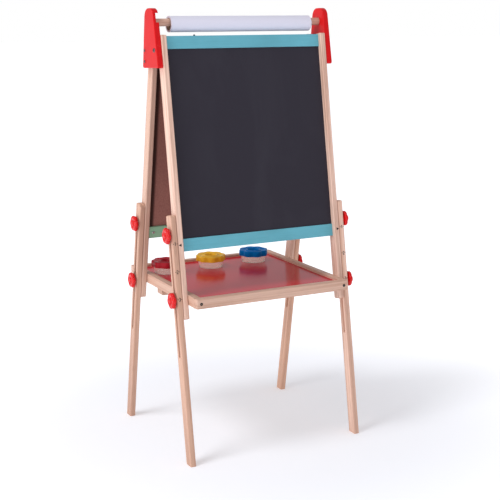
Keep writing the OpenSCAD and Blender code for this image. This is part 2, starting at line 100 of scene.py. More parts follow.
def box_in(node, space):
    """Lowest and highest corner of a CAD node in another space."""
    back = space.inverted()
    points = [back @ vertex.co for vertex in frame["nodes"][node].data.vertices]
    return (Vector([min(p[i] for p in points) for i in range(3)]),
            Vector([max(p[i] for p in points) for i in range(3)]))


# ---------------------------------------------------------------- mesh making

def arc(centre, radius, start, end, steps):
    """Points on an arc, angles in degrees."""
    angles = [math.radians(start + (end - start) * i / steps) for i in range(steps + 1)]
    return [(centre[0] + radius * math.cos(a), centre[1] + radius * math.sin(a)) for a in angles]


def circle(radius, steps=64, centre=(0.0, 0.0)):
    return arc(centre, radius, 0.0, 360.0 * (steps - 1) / steps, steps - 1)


def rounded(corners, radii, steps=6):
    """Convex or concave outline with its corners rounded, one radius per corner."""
    points = []
    count = len(corners)
    for i, radius in enumerate(radii):
        corner = Vector(corners[i])
        before = (Vector(corners[i - 1]) - corner).normalized()
        after = (Vector(corners[(i + 1) % count]) - corner).normalized()
        half = before.angle(after) / 2
        centre = corner + (before + after).normalized() * radius / math.sin(half)
        start = corner + before * radius / math.tan(half) - centre
        end = corner + after * radius / math.tan(half) - centre
        turn = start.angle_signed(end)
        for k in range(steps + 1):
            points.append(tuple(centre + Matrix.Rotation(-turn * k / steps, 2) @ start))
    return points


def rectangle(width, height):
    x, y = width / 2, height / 2
    return [(-x, -y), (x, -y), (x, y), (-x, y)]


def signed_area(loop):
    return sum(a[0] * b[1] - b[0] * a[1] for a, b in zip(loop, loop[1:] + loop[:1])) / 2


def inset(loop, distance):
    """The loop moved to its left by a distance, corners mitred."""
    moved = []
    for i, point in enumerate(loop):
        here = Vector(point)
        into = (here - Vector(loop[i - 1])).normalized()
        away = (Vector(loop[(i + 1) % len(loop)]) - here).normalized()
        left = Vector((-into.y - away.y, into.x + away.x)).normalized()
        cosine = max(0.3, left.dot(Vector((-into.y, into.x))))
        moved.append(tuple(here + left * distance / cosine))
    return moved


def new_object(name, vertices, faces, smooth_angle=SMOOTH_ANGLE):
    mesh = bpy.data.meshes.new(name)
    mesh.from_pydata([tuple(v) for v in vertices], [], faces)
    mesh.validate()
    mesh.polygons.foreach_set("use_smooth", [True] * len(mesh.polygons))
    mesh.set_sharp_from_angle(angle=math.radians(smooth_angle))
    made = bpy.data.objects.new(name, mesh)
    bpy.context.scene.collection.objects.link(made)
    return made


def plate(name, outline, thickness, edge, holes=(), steps=3):
    """Flat piece with a rounded rim, its outline in (u, v) and its thickness centred on w = 0."""
    loops = [outline if signed_area(outline) > 0 else outline[::-1]]
    loops += [hole if signed_area(hole) < 0 else hole[::-1] for hole in holes]
    half = thickness / 2
    quarter = [math.pi / 2 * i / steps for i in range(steps + 1)]
    rim = [(edge * (1 - math.cos(a)), half - edge + edge * math.sin(a)) for a in quarter]
    levels = [(d, -w) for d, w in reversed(rim)] + rim
    vertices, faces, ends = [], [], {0: [], len(levels) - 1: []}
    for loop in loops:
        first = len(vertices)
        count = len(loop)
        for k, (distance, w) in enumerate(levels):
            ring = inset(loop, distance) if distance else loop
            vertices += [Vector((u, v, w)) for u, v in ring]
            if k in ends:
                ends[k].append((first + k * count, count))
        for k in range(len(levels) - 1):
            low, high = first + k * count, first + (k + 1) * count
            for i in range(count):
                j = (i + 1) % count
                faces.append((low + i, low + j, high + j, high + i))
    for k, rings in ends.items():
        index = [start + i for start, count in rings for i in range(count)]
        lines = [[vertices[start + i] for i in range(count)] for start, count in rings]
        for triangle in tessellate_polygon(lines):
            a, b, c = (index[i] for i in triangle)
            normal = (vertices[b] - vertices[a]).cross(vertices[c] - vertices[a])
            faces.append((a, b, c) if (normal.z > 0) == (k > 0) else (a, c, b))
    made = new_object(name, vertices, faces)
    made.modifiers.new("weighted normals", "WEIGHTED_NORMAL").keep_sharp = True
    return made


def turned(name, profile, outline=None, steps=64, closed=False, smooth_angle=SMOOTH_ANGLE):
    """Piece turned about Z. The profile holds (radius, height), some with a share of the outline."""
    vertices, faces = [], []
    rings = []
    for radius, height, *share in profile:
        if radius == 0:
            rings.append([len(vertices)])
            vertices.append(Vector((0.0, 0.0, height)))
            continue
        rings.append(list(range(len(vertices), len(vertices) + steps)))
        weight = share[0] if share else 0.0
        for i in range(steps):
            angle = 2 * math.pi * i / steps
            scale = 1.0 + weight * (outline(angle) - 1.0) if outline else 1.0
            vertices.append(Vector((radius * scale * math.cos(angle),
                                    radius * scale * math.sin(angle), height)))
    pairs = list(zip(rings, rings[1:])) + ([(rings[-1], rings[0])] if closed else [])
    for low, high in pairs:
        for i in range(steps):
            j = (i + 1) % steps
            corners = [low[i % len(low)], low[j % len(low)], high[j % len(high)], high[i % len(high)]]
            face = list(dict.fromkeys(corners))
            if len(face) > 2:
                faces.append(face)
    return new_object(name, vertices, faces, smooth_angle)


def joined(name, objects):
    """One object from several."""
    vertices, faces = [], []
    for part in objects:
        first = len(vertices)
        vertices += [part.matrix_world @ v.co for v in part.data.vertices]
        faces += [[first + i for i in polygon.vertices] for polygon in part.data.polygons]
        bpy.data.objects.remove(part)
    return new_object(name, vertices, faces)


def cut(piece, cutter):
    """The piece with the cutter's space taken out of it."""
    boolean = piece.modifiers.new("cut", "BOOLEAN")
    boolean.operation = "DIFFERENCE"
    boolean.solver = "EXACT"
    boolean.object = cutter
    weighted = piece.modifiers.get("weighted normals")
    if weighted:
        piece.modifiers.remove(weighted)
    bpy.context.view_layer.update()
    graph = bpy.context.evaluated_depsgraph_get()
    mesh = bpy.data.meshes.new_from_object(piece.evaluated_get(graph))
    piece.modifiers.clear()
    piece.data = mesh
    bpy.data.objects.remove(cutter)
    mesh.polygons.foreach_set("use_smooth", [True] * len(mesh.polygons))
    mesh.set_sharp_from_angle(angle=math.radians(CUT_SMOOTH_ANGLE))
    piece.modifiers.new("weighted normals", "WEIGHTED_NORMAL").keep_sharp = True
    return piece


def move(piece, matrix):
    """Moves the piece by moving its vertices, so that its object stays at the origin."""
    piece.data.transform(matrix)
    if matrix.determinant() < 0:
        piece.data.flip_normals()
    return piece


def set_in(piece, nodes, material, body=None):
    """The piece stands for these CAD nodes, or rides on a body as an extra piece."""
    piece.data.materials.clear()
    piece.data.materials.append(material)
    if nodes:
        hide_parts(*nodes)
        body = body_of_node[nodes[0]]
    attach(piece, body)
    return piece


# ---------------------------------------------------------------- materials

class Shader:
    """A Principled material with short ways to add nodes to it."""

    def __init__(self, name, roughness=0.5, colour=None, **sockets):
        self.material = bpy.data.materials.new(name)
        self.material.use_nodes = True
        self.tree = self.material.node_tree
        self.surface = self.tree.nodes["Principled BSDF"]
        self.surface.inputs["Roughness"].default_value = roughness
        if colour:
            self.surface.inputs["Base Color"].default_value = (*colour, 1.0)
        for socket, value in sockets.items():
            self.surface.inputs[socket.replace("_", " ")].default_value = value

    def node(self, kind, inputs=None, **settings):
        made = self.tree.nodes.new("ShaderNode" + kind)
        for key, value in settings.items():
            setattr(made, key, value)
        for key, value in (inputs or {}).items():
            if isinstance(value, bpy.types.NodeSocket):
                self.tree.links.new(value, made.inputs[key])
            else:
                made.inputs[key].default_value = value
        return made

    def place(self, toward=None, offset=(0, 0, 0), scale=(1, 1, 1)):
        """Object coordinates, turned so that a direction becomes Z, then moved and scaled."""
        turn = toward.rotation_difference(Vector((0, 0, 1))).to_euler() if toward else (0, 0, 0)
        coordinates = self.node("TexCoord").outputs["Object"]
        moved = self.node("Mapping", {"Vector": coordinates, "Location": offset, "Rotation": turn})
        return self.node("Mapping", {"Vector": moved.outputs[0], "Scale": scale}).outputs[0]

    def noise(self, vector, scale, detail=3.0, roughness=0.5, distortion=0.0):
        return self.node("TexNoise", {"Vector": vector, "Scale": scale, "Detail": detail,
                                      "Roughness": roughness, "Distortion": distortion}).outputs["Fac"]

    def ramp(self, value, *stops):
        """Colours or grey levels along a value: each stop is (position, colour or level)."""
        made = self.node("ValToRGB", {"Fac": value})
        elements = made.color_ramp.elements
        while len(elements) < len(stops):
            elements.new(0.5)
        for element, (position, colour) in zip(elements, stops):
            level = colour if isinstance(colour, tuple) else (colour,) * 3
            element.position = position
            element.color = (*level, 1.0)
        return made.outputs["Color"]

    def mix(self, share, a, b, blend="MIX"):
        made = self.node("Mix", {"Factor": share}, data_type="RGBA", blend_type=blend)
        for socket, value in ((made.inputs[6], a), (made.inputs[7], b)):
            if isinstance(value, bpy.types.NodeSocket):
                self.tree.links.new(value, socket)
            else:
                socket.default_value = (*value, 1.0)
        return made.outputs[2]

    def maths(self, operation, *values):
        made = self.node("Math", operation=operation)
        for socket, value in zip(made.inputs, values):
            if isinstance(value, bpy.types.NodeSocket):
                self.tree.links.new(value, socket)
            else:
                socket.default_value = value
        return made.outputs[0]

    def between(self, value, low, high):
        return self.node("MapRange", {"Value": value, "To Min": low, "To Max": high}).outputs[0]

    def edges(self):
        """1 on convex edges, 0 on flat faces."""
        pointed = self.node("NewGeometry").outputs["Pointiness"]
        return self.node("MapRange", {"Value": pointed, "From Min": 0.52, "From Max": 0.6}).outputs[0]

    def colour(self, value):
        self.tree.links.new(value, self.surface.inputs["Base Color"])

    def rough(self, value, low, high):
        self.tree.links.new(self.between(value, low, high), self.surface.inputs["Roughness"])

    def bump(self, height, distance, strength):
        made = self.node("Bump", {"Height": height, "Distance": distance, "Strength": strength})
        self.tree.links.new(made.outputs[0], self.surface.inputs["Normal"])


WOOD_PALE = (0.830, 0.580, 0.475)
WOOD_DEEP = (0.540, 0.310, 0.225)
TONE_SPREAD = 0.045
# Brightness, then how yellow (above 1) or pink each wooden piece is: partly its board's own tone, partly painted
# shade, darkest on the batten under the tray
WOOD_TONE_AND_SHADE = {"front_post_left": (1.03, 1.02), "front_post_right": (1.08, 1.03),
               "rear_post_left": (0.88, 0.98), "leg_front_left": (0.85, 0.91),
               "leg_front_right": (1.08, 1.0), "leg_rear_left": (0.78, 0.92),
               "leg_rear_right": (0.92, 0.88), "tray_batten": (0.70, 0.97)}
TRAY_TONE = (0.86, 0.97)
RING_SCALE = 62.0
STRETCH = 0.035
LATE_WOOD_SHARE = 0.42
STREAK_SHARE = 0.52


def wood(name, along, seed, board=None):
    """Light lacquered wood with growth rings and pores that run along a direction."""
    rng = random.Random(seed)
    made = Shader(name, roughness=0.45, Specular_IOR_Level=0.3)
    heart = (rng.uniform(0.05, 0.12), rng.uniform(-0.09, 0.09), rng.uniform(-1.0, 1.0))
    along_grain = made.place(along, heart, (1.0, 1.0, STRETCH))
    rings = made.node("TexWave", {"Vector": along_grain, "Scale": RING_SCALE, "Distortion": 5.0,
                                  "Detail": 2.0, "Detail Scale": 0.45}, wave_type="RINGS",
                      rings_direction="Z", wave_profile="SAW").outputs["Fac"]
    fibre = made.noise(along_grain, 900.0, detail=4.0, roughness=0.6)
    streak = made.noise(along_grain, 105.0, detail=3.0)
    cloud = made.noise(made.place(None, heart), 5.0, detail=2.0)
    late = made.ramp(rings, (0.0, 0.05), (0.55, 0.25), (0.9, 0.85), (1.0, 0.1))
    rings_share = made.maths("MULTIPLY", late, LATE_WOOD_SHARE)
    dark_streaks = made.ramp(streak, (0.44, 0.0), (0.60, 1.0))
    streaked = made.maths("MULTIPLY_ADD", dark_streaks, STREAK_SHARE, rings_share)
    # The given tone holds painted shade as well as the board's own tone
    tone, warmth = board or (1.0, 1.0)
    tone += rng.uniform(-TONE_SPREAD, TONE_SPREAD)
    pale = (WOOD_PALE[0] * tone, WOOD_PALE[1] * tone * warmth, WOOD_PALE[2] * tone * warmth ** 2)
    grain = made.mix(streaked, pale, WOOD_DEEP)
    pores = made.ramp(fibre, (0.30, 0.80), (0.46, 1.0))
    toned = made.mix(1.0, grain, pores, "MULTIPLY")
    warm = made.ramp(cloud, (0.3, (1.03, 1.0, 0.97)), (0.7, (0.97, 0.94, 0.92)))
    made.colour(made.mix(1.0, toned, warm, "MULTIPLY"))
    made.rough(fibre, 0.36, 0.56)
    made.bump(fibre, 0.00025, 0.35)
    return made.material


WORN_PAINT = (0.62, 0.45, 0.32)


def painted(name, colour, along, roughness=0.38):
    """Paint on wood: faint grain under it, small runs of tone and slightly worn edges."""
    made = Shader(name, roughness=roughness, Specular_IOR_Level=0.15)
    along_grain = made.place(along, (0.03, 0.01, 0.2), (1.0, 1.0, STRETCH))
    grain = made.noise(along_grain, 420.0, detail=4.0, roughness=0.6)
    cloud = made.noise(made.place(), 9.0, detail=3.0)
    deep = tuple(0.86 * c for c in colour)
    base = made.mix(made.ramp(cloud, (0.35, 0.0), (0.7, 1.0)), colour, deep)
    streaked = made.mix(1.0, base, made.ramp(grain, (0.3, 0.93), (0.6, 1.0)), "MULTIPLY")
    chips = made.noise(made.place(), 260.0, detail=3.0)
    wear = made.maths("MULTIPLY", made.edges(), made.ramp(chips, (0.62, 0.0), (0.72, 0.55)))
    made.colour(made.mix(wear, streaked, WORN_PAINT))
    made.rough(grain, roughness - 0.07, roughness + 0.1)
    made.bump(grain, 0.00012, 0.35)
    return made.material


def plastic(name, colour, roughness, gloss):
    """Glossy moulded plastic with a faint uneven skin."""
    made = Shader(name, roughness=roughness, Specular_IOR_Level=gloss)
    skin = made.noise(made.place(), 900.0, detail=2.0)
    cloud = made.noise(made.place(), 45.0, detail=3.0)
    made.colour(made.mix(cloud, colour, tuple(0.85 * c for c in colour)))
    made.rough(cloud, roughness - 0.06, roughness + 0.08)
    made.bump(skin, 0.00005, 0.4)
    return made.material


def clear_plastic(name):
    """Milky natural plastic that some light passes through, with a faint warm painted glow."""
    # The emission is a painted glow: the plastic gives off a faint warm light of its own to look lit through
    made = Shader(name, roughness=0.15, Transmission_Weight=0.86, IOR=1.05,
                  Emission_Color=(1.0, 0.74, 0.66, 1.0), Emission_Strength=0.05)
    cloud = made.noise(made.place(), 60.0, detail=3.0)
    made.colour(made.ramp(cloud, (0.3, (1.0, 0.92, 0.89)), (0.7, (0.96, 0.88, 0.85))))
    made.rough(cloud, 0.14, 0.24)
    made.bump(made.noise(made.place(), 700.0), 0.00005, 0.3)
    return made.material


def steel(name, level=0.62, roughness=0.3):
    """Zinc-plated steel with fine scratches."""
    made = Shader(name, roughness=roughness, Metallic=1.0)
    scratch = made.noise(made.place(None, (0, 0, 0), (1.0, 0.08, 1.0)), 1500.0, detail=3.0)
    cloud = made.noise(made.place(), 120.0, detail=2.0)
    made.colour(made.ramp(cloud, (0.3, (level, level, level * 1.03)), (0.7, level * 0.8)))
    made.rough(scratch, roughness - 0.08, roughness + 0.14)
    made.bump(scratch, 0.00004, 0.4)
    return made.material


def chalk_surface(name):
    """Matt charcoal board with old chalk wiped into it."""
    made = Shader(name, roughness=0.62, Specular_IOR_Level=0.12)
    wiped = made.place(None, (0.3, 0.0, 0.1), (1.0, 1.0, 0.32))
    haze = made.noise(wiped, 6.0, detail=5.0, roughness=0.62, distortion=0.8)
    tooth = made.noise(made.place(), 1600.0, detail=2.0)
    board = made.mix(made.ramp(tooth, (0.35, 0.0), (0.65, 1.0)), (0.030, 0.026, 0.037),
                     (0.035, 0.032, 0.044))
    made.colour(made.mix(made.ramp(haze, (0.46, 0.0), (0.80, 0.07)), board, (0.20, 0.20, 0.23)))
    made.rough(haze, 0.56, 0.72)
    made.bump(tooth, 0.00006, 0.5)
    return made.material


def white_laminate(name):
    """Glossy white drawing surface with faint traces of wiping."""
    made = Shader(name, roughness=0.16, Coat_Weight=0.3, Coat_Roughness=0.05)
    wiped = made.noise(made.place(None, (0, 0, 0), (0.4, 1.0, 1.0)), 9.0, detail=5.0, distortion=0.6)
    made.colour(made.ramp(wiped, (0.35, (0.86, 0.865, 0.875)), (0.75, (0.80, 0.805, 0.83))))
    made.rough(wiped, 0.12, 0.28)
    made.bump(made.noise(made.place(), 240.0), 0.00004, 0.3)
    return made.material


# Painted shade on the board beside the posts: it begins 17 mm from a post's inner face, is full from 9 mm, and
# there the board keeps 0.17 of its brightness
SHADE_START = 17 * MM
SHADE_FULL = 9 * MM
SHADE_LEVEL = 0.17


def hardboard(name, post_edge):
    """Brown pressed fibre board, with painted shade where it meets the posts."""
    made = Shader(name, roughness=0.72, Specular_IOR_Level=0.12)
    fibre = made.noise(made.place(None, (0, 0, 0), (1.0, 1.0, 0.6)), 420.0, detail=5.0, roughness=0.7)
    cloud = made.noise(made.place(), 14.0, detail=3.0)
    base = made.ramp(fibre, (0.3, (0.300, 0.135, 0.110)), (0.7, (0.470, 0.220, 0.180)))
    sideways = made.node("SeparateXYZ", {"Vector": made.place()}).outputs[0]
    # Painted shade: the board darkens towards each post
    edge = made.node("MapRange", {"Value": made.maths("ABSOLUTE", sideways),
                                  "From Min": post_edge - SHADE_START,
                                  "From Max": post_edge - SHADE_FULL}, interpolation_type="SMOOTHSTEP")
    post_shade = made.ramp(edge.outputs[0], (0.0, 1.0), (1.0, SHADE_LEVEL))
    shaded = made.mix(1.0, base, post_shade, "MULTIPLY")
    made.colour(made.mix(1.0, shaded, made.ramp(cloud, (0.3, 0.86), (0.7, 1.0)), "MULTIPLY"))
    made.rough(fibre, 0.62, 0.84)
    made.bump(fibre, 0.0002, 0.6)
    return made.material


LACQUER_EDGE = 0.5 * MM


def tray_lacquer(name, underside):
    """Crimson lacquer on top, glossy enough to mirror what stands on it softly; bare board below."""
    made = Shader(name, roughness=0.15, Specular_IOR_Level=0.16)
    cloud = made.noise(made.place(), 7.0, detail=4.0)
    ripple = made.noise(made.place(None, (0, 0, 0), (1.0, 0.25, 1.0)), 320.0, detail=3.0)
    fibre = made.noise(made.place(), 260.0, detail=5.0, roughness=0.7)
    lacquer = made.mix(cloud, (0.610, 0.011, 0.031), (0.520, 0.009, 0.024))
    board = made.ramp(fibre, (0.3, (0.34, 0.24, 0.17)), (0.7, (0.46, 0.34, 0.25)))
    height = made.node("SeparateXYZ", {"Vector": made.place()}).outputs[2]
    above = made.maths("GREATER_THAN", height, underside + LACQUER_EDGE)
    made.colour(made.mix(above, board, lacquer))
    made.rough(cloud, 0.14, 0.21)
    made.bump(ripple, 0.00005, 0.3)
    return made.material


def paper(name, axis_point):
    """White paper; the edges of its turns show as fine rings on the roll's ends."""
    made = Shader(name, roughness=0.78, Specular_IOR_Level=0.3)
    centre = made.place(None, tuple(-c for c in axis_point))
    turns = made.node("TexWave", {"Vector": centre, "Scale": 520.0, "Distortion": 0.6, "Detail": 1.0},
                      wave_type="RINGS", rings_direction="X").outputs["Fac"]
    fibre = made.noise(made.place(), 800.0, detail=4.0, roughness=0.65)
    base = made.ramp(fibre, (0.3, (0.72, 0.715, 0.83)), (0.7, (0.77, 0.765, 0.89)))
    sideways = made.node("SeparateXYZ", {"Vector": made.node("NewGeometry").outputs["Normal"]})
    on_end = made.maths("ABSOLUTE", sideways.outputs[0])
    ringed = made.mix(1.0, base, made.ramp(turns, (0.0, 0.72), (0.5, 1.0)), "MULTIPLY")
    made.colour(made.mix(on_end, base, ringed))
    made.rough(fibre, 0.70, 0.86)
    made.bump(fibre, 0.00005, 0.4)
    return made.material


def cardboard(name):
    """Grey-brown core board, its winding just visible."""
    made = Shader(name, roughness=0.85)
    fibre = made.noise(made.place(), 500.0, detail=5.0, roughness=0.7)
    winding = made.node("TexWave", {"Vector": made.place(Vector((0.8, 0.6, 0.0))), "Scale": 9.0,
                                    "Distortion": 0.4}, bands_direction="Z").outputs["Fac"]
    base = made.ramp(fibre, (0.3, (0.24, 0.165, 0.115)), (0.7, (0.40, 0.29, 0.21)))
    made.colour(made.mix(1.0, base, made.ramp(winding, (0.0, 0.82), (0.12, 1.0)), "MULTIPLY"))
    made.rough(fibre, 0.78, 0.92)
    made.bump(fibre, 0.0001, 0.5)
    return made.material


def ink(name):
    made = Shader(name, roughness=0.6, Specular_IOR_Level=0.1)
    speck = made.noise(made.place(), 1200.0)
    made.colour(made.ramp(speck, (0.3, (0.008, 0.008, 0.010)), (0.8, (0.03, 0.026, 0.026))))
    return made.material


ACROSS = Vector((1.0, 0.0, 0.0))
DEPTHWAYS = Vector((0.0, 1.0, 0.0))
UP = {"front": lath_up, "rear": Vector((0.0, -lath_up.y, lath_up.z))}

TEAL = (0.150, 0.470, 0.575)
GREEN = (0.300, 0.550, 0.360)
RED = (0.700, 0.007, 0.010)

teal_paint = painted("teal_paint", TEAL, ACROSS)
green_paint = painted("green_paint", GREEN, ACROSS)
red_paint = painted("red_paint", RED, Vector((0, 0, 1)), roughness=0.32)
red_plastic = plastic("red_plastic", (0.740, 0.010, 0.011), 0.22, 0.28)
plated = steel("plated_steel")
dark_steel = steel("dark_steel", 0.07, 0.4)
fixing_steel = steel("fixing_steel", 0.16, 0.38)
MARKS = ink("printed_marks")

PLAIN = {
    "green_paint": green_paint,
    "teal_paint": teal_paint,
    "red_paint": red_paint,
    "red_plastic": red_plastic,
    "steel": plated,
    "dark_steel": dark_steel,
    "white_laminate": white_laminate("white_laminate"),
    "chalk_surface": chalk_surface("chalk_surface"),
    "hardboard": hardboard("hardboard", -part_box("front_post_left")[1].x),
    "tray_panel": tray_lacquer("tray_lacquer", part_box("tray_floor")[0].z),
    "core_board": cardboard("core_board"),
    "paper": paper("paper", joints["roll_spin"]["pos_m"]),
    "clear_plastic": clear_plastic("clear_plastic"),
    "red_lid": plastic("red_lid", (0.470, 0.016, 0.030), 0.26, 0.12),
    "yellow_lid": plastic("yellow_lid", (1.0, 0.560, 0.035), 0.26, 0.12),
    "blue_lid": plastic("blue_lid", (0.001, 0.160, 0.500), 0.26, 0.05),
}


def grain_of(node):
    """Direction that a wooden node's grain runs in."""
    if node.startswith(("front_post", "leg_front")):
        return UP["front"]
    if node.startswith(("rear_post", "leg_rear")):
        return UP["rear"]
    if node in ("tray_left_rail", "tray_right_rail"):
        return DEPTHWAYS
    return ACROSS


def tone_and_shade_of(node):
    """Tone and warmth of a wooden node: its board's own tone, with painted shade where the node lies in shade."""
    return WOOD_TONE_AND_SHADE.get(node, TRAY_TONE if node.startswith("tray") else None)


FIRST_SEED = 11
MATERIAL = {}
for number, (node, node_slot) in enumerate(slot_of_node.items()):
    MATERIAL[node] = PLAIN.get(node_slot) or wood("wood_" + node, grain_of(node), FIRST_SEED + number,
                                                  tone_and_shade_of(node))
    frame["nodes"][node].data.materials.clear()
    frame["nodes"][node].data.materials.append(MATERIAL[node])


# ---------------------------------------------------------------- brackets and their fixings

BRACKET_EDGE = 1.8 * MM
BRACKET_LOW_HEIGHT = 924 * MM
BRACKET_LOW_HALF = 46.2 * MM
BRACKET_TOP_HALF = 23.5 * MM
BRACKET_TOP_RADIUS = 21 * MM
BRACKET_LOW_RADIUS = 5 * MM
BRACKET_TILT = math.radians(2.3)
# Keeps the tilted corner inside the CAD box
TOP_MARGIN = 0.1 * MM
SEAT_RADIUS = 9.75 * MM
SEAT_RISE = 0.45 * MM
SEAT_DEPTH = 8 * MM
SEAT_LIP_HEIGHT = 1029.7 * MM
HOOK_HEIGHT = 1051 * MM
POCKET_EDGE = 0.3 * MM
RAMP_START = 22 * MM
RAMP_END = 9.3 * MM
RAMP_LOW = 1026.3 * MM
SEAT_ENTRY = 197.0
LIP_ROUND = 2.5 * MM
HOOK_ROUND = 3.0 * MM
dowel_axis = Vector(joints["dowel_lift"]["pos_m"])


def bracket_outline(node):
    """Side outline in (y, z), tilted a little towards the rear about the pivots' height."""
    pivot_z = front_pivot.z
    tilt_rise = (BRACKET_TOP_HALF - BRACKET_TOP_RADIUS) * math.sin(BRACKET_TILT)
    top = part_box(node)[1].z - TOP_MARGIN - tilt_rise
    low = BRACKET_LOW_HEIGHT
    corners = [(-BRACKET_LOW_HALF, low - pivot_z), (BRACKET_LOW_HALF, low - pivot_z),
               (BRACKET_TOP_HALF, top - pivot_z), (-BRACKET_TOP_HALF, top - pivot_z)]
    radii = [BRACKET_LOW_RADIUS] * 2 + [BRACKET_TOP_RADIUS] * 2
    turn = Matrix.Rotation(-BRACKET_TILT, 2)
    pivot = Vector((middle_y, pivot_z))
    return [tuple(turn @ Vector(point) + pivot) for point in rounded(corners, radii, 12)]


def open_seat_outline():
    """Pocket that is open to the front: under the hook, over the lip and down its ramp to the seat."""
    axis_y, axis_z = dowel_axis.y, dowel_axis.z + SEAT_RISE
    front = axis_y - BRACKET_LOW_HALF
    lip = rounded([(front, SEAT_LIP_HEIGHT), (axis_y - RAMP_START, SEAT_LIP_HEIGHT),
                   (axis_y - RAMP_END, RAMP_LOW)], [HOOK_ROUND, LIP_ROUND, HOOK_ROUND])
    corner_points = len(lip) // 3
    seat = arc((axis_y, axis_z), SEAT_RADIUS, SEAT_ENTRY - 360.0, 0.0, 24)
    ceiling = arc((axis_y, HOOK_HEIGHT - SEAT_RADIUS), SEAT_RADIUS, 0.0, 90.0, 8)
    ramp = lip[corner_points:-corner_points]
    return [(front, SEAT_LIP_HEIGHT), *ramp, *seat, *ceiling, (front, HOOK_HEIGHT)]


for side in SIDES:
    node = "bracket_" + side
    low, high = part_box(node)
    thickness = high.x - low.x
    body = plate(node + "_piece", bracket_outline(node), thickness, BRACKET_EDGE)
    move(body, Matrix.Translation((middle(node).x, 0, 0)) @ SIDE_PLANE)
    seat = open_seat_outline() if side == "left" else circle(
        SEAT_RADIUS, 64, (dowel_axis.y, dowel_axis.z + SEAT_RISE))
    inner_face = high.x if side == "left" else low.x
    pocket = plate("pocket", seat, 2 * SEAT_DEPTH, POCKET_EDGE, steps=1)
    move(pocket, Matrix.Translation((inner_face, 0, 0)) @ SIDE_PLANE)
    set_in(cut(body, pocket), [node], MATERIAL[node])


def hexagon(angle):
    """Driver's hexagon, its corners on the outline."""
    sector = math.radians(60.0)
    return math.cos(sector / 2) / math.cos(angle % sector - sector / 2)


def cross(angle):
    """Driver's cross: its four arms reach the outline, and 0.38 of it is left between them."""
    return 0.38 + 0.62 * math.cos(2 * angle) ** 8


def fixing(radius, height, shank, grip, drive, drive_radius, sunk):
    """Screw or bolt along Z: a domed head on z = 0 with a driver's recess, and its shank below."""
    dome = [(radius * math.cos(a), height * (0.35 + 0.65 * math.sin(a)))
            for a in [math.radians(d) for d in (0, 20, 40, 58)]]
    flat = height * 0.97
    profile = [(0, -grip), (shank * 0.6, -grip + shank * 0.5), (shank, -grip + shank),
               (shank, 0.0), (radius, 0.0), *dome, (drive_radius * 1.25, flat, 0.3),
               (drive_radius, flat, 1.0), (drive_radius * 0.9, flat - sunk, 1.0), (0, flat - sunk * 1.2)]
    return turned("fixing", profile, drive, 48, smooth_angle=35.0)


def toward(point, direction, roll=0.0):
    """Puts Z along a direction at a point."""
    turn = Vector(direction).to_track_quat("Z", "Y").to_matrix().to_4x4()
    return Matrix.Translation(point) @ turn @ Matrix.Rotation(roll, 4, "Z")


SCREW_RADIUS = 3.6 * MM
SCREW_SHANK = 1.8 * MM
SCREW_HEAD = 2.0 * MM
SCREW_DRIVE = 2.1 * MM
SCREW_SUNK = 1.1 * MM
# Places of the bracket's screws in the rear frame's own space, (y, z)
BRACKET_SCREWS = ((-2.7 * MM, 1.6 * MM), (1.2 * MM, -24 * MM))
BRACKET_SCREW_GRIP = 22 * MM
RAIL_SCREW_X = 195 * MM
RAIL_SCREW_GRIP = 6 * MM
BOLT_RADIUS = 5 * MM
BOLT_SHANK = 3 * MM
BOLT_GRIP = 20 * MM
BOLT_DRIVE = 2.3 * MM
BOLT_SUNK = 1.6 * MM

screws = []
rail_screws = []
bolts = []
bracket_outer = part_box("bracket_right")[1].x
bolt_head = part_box("pivot_bolts")[1].x - bracket_outer
rear_rail = box_in("rear_bottom_rail", SPACE["rear"])
for side in SIDES:
    local_x = side_in("rear", side)
    out = Vector((local_x, 0, 0))
    for y, z in BRACKET_SCREWS:
        head = fixing(SCREW_RADIUS, SCREW_HEAD, SCREW_SHANK, BRACKET_SCREW_GRIP, cross,
                      SCREW_DRIVE, SCREW_SUNK)
        spot = toward((local_x * bracket_outer, y, z), out, 0.6 * z / MM)
        screws.append(move(head, SPACE["rear"] @ spot))
    small = fixing(SCREW_RADIUS, SCREW_HEAD, SCREW_SHANK, RAIL_SCREW_GRIP, cross,
                   SCREW_DRIVE, SCREW_SUNK)
    rail_spot = (local_x * RAIL_SCREW_X, rear_rail[1].y, (rear_rail[0].z + rear_rail[1].z) / 2)
    rail_screws.append(move(small, SPACE["rear"] @ toward(rail_spot, (0, 1, 0), 0.4)))
    bolt = fixing(BOLT_RADIUS, bolt_head, BOLT_SHANK, BOLT_GRIP, hexagon, BOLT_DRIVE, BOLT_SUNK)
    out = Vector((OUTWARD[side], 0, 0))
    bolts.append(move(bolt, toward(front_pivot + out * bracket_outer, out, 0.3)))
set_in(joined("rear_screws_piece", screws), ["rear_screws"], fixing_steel)
set_in(joined("rail_screws_piece", rail_screws), [], plated, body_of_node["rear_screws"])
set_in(joined("pivot_bolts_piece", bolts), ["pivot_bolts"], fixing_steel)


# ---------------------------------------------------------------- painted rails

RAIL_EDGE = 0.9 * MM
for which in FRAMES:
    for level in ("top", "bottom"):
        node = f"{which}_{level}_rail"
        low, high = box_in(node, SPACE[which])
        size, centre = high - low, (high + low) / 2
        rail = plate(node + "_piece", rectangle(size.x, size.z), size.y, RAIL_EDGE)
        move(rail, SPACE[which] @ Matrix.Translation(centre) @ FACE_PLANE)
        set_in(rail, [node], MATERIAL[node])


# ---------------------------------------------------------------- legs' height marks

# Drops are measured along the lath, down from the pivots
MARK_DROPS = (452 * MM, 518 * MM, 583 * MM)
MARK_THICK = 0.05 * MM
STROKE = 1.5 * MM
DIGIT_HEIGHT = 8.0 * MM
DIGIT_WIDTH = 4.2 * MM
TICK_GAP = 1.0 * MM
TICK_MARGIN = 1.2 * MM
POINTER_DROP = 456 * MM
POINTER_SIZE = 7.4 * MM
POINTER_GAP = 0.8 * MM
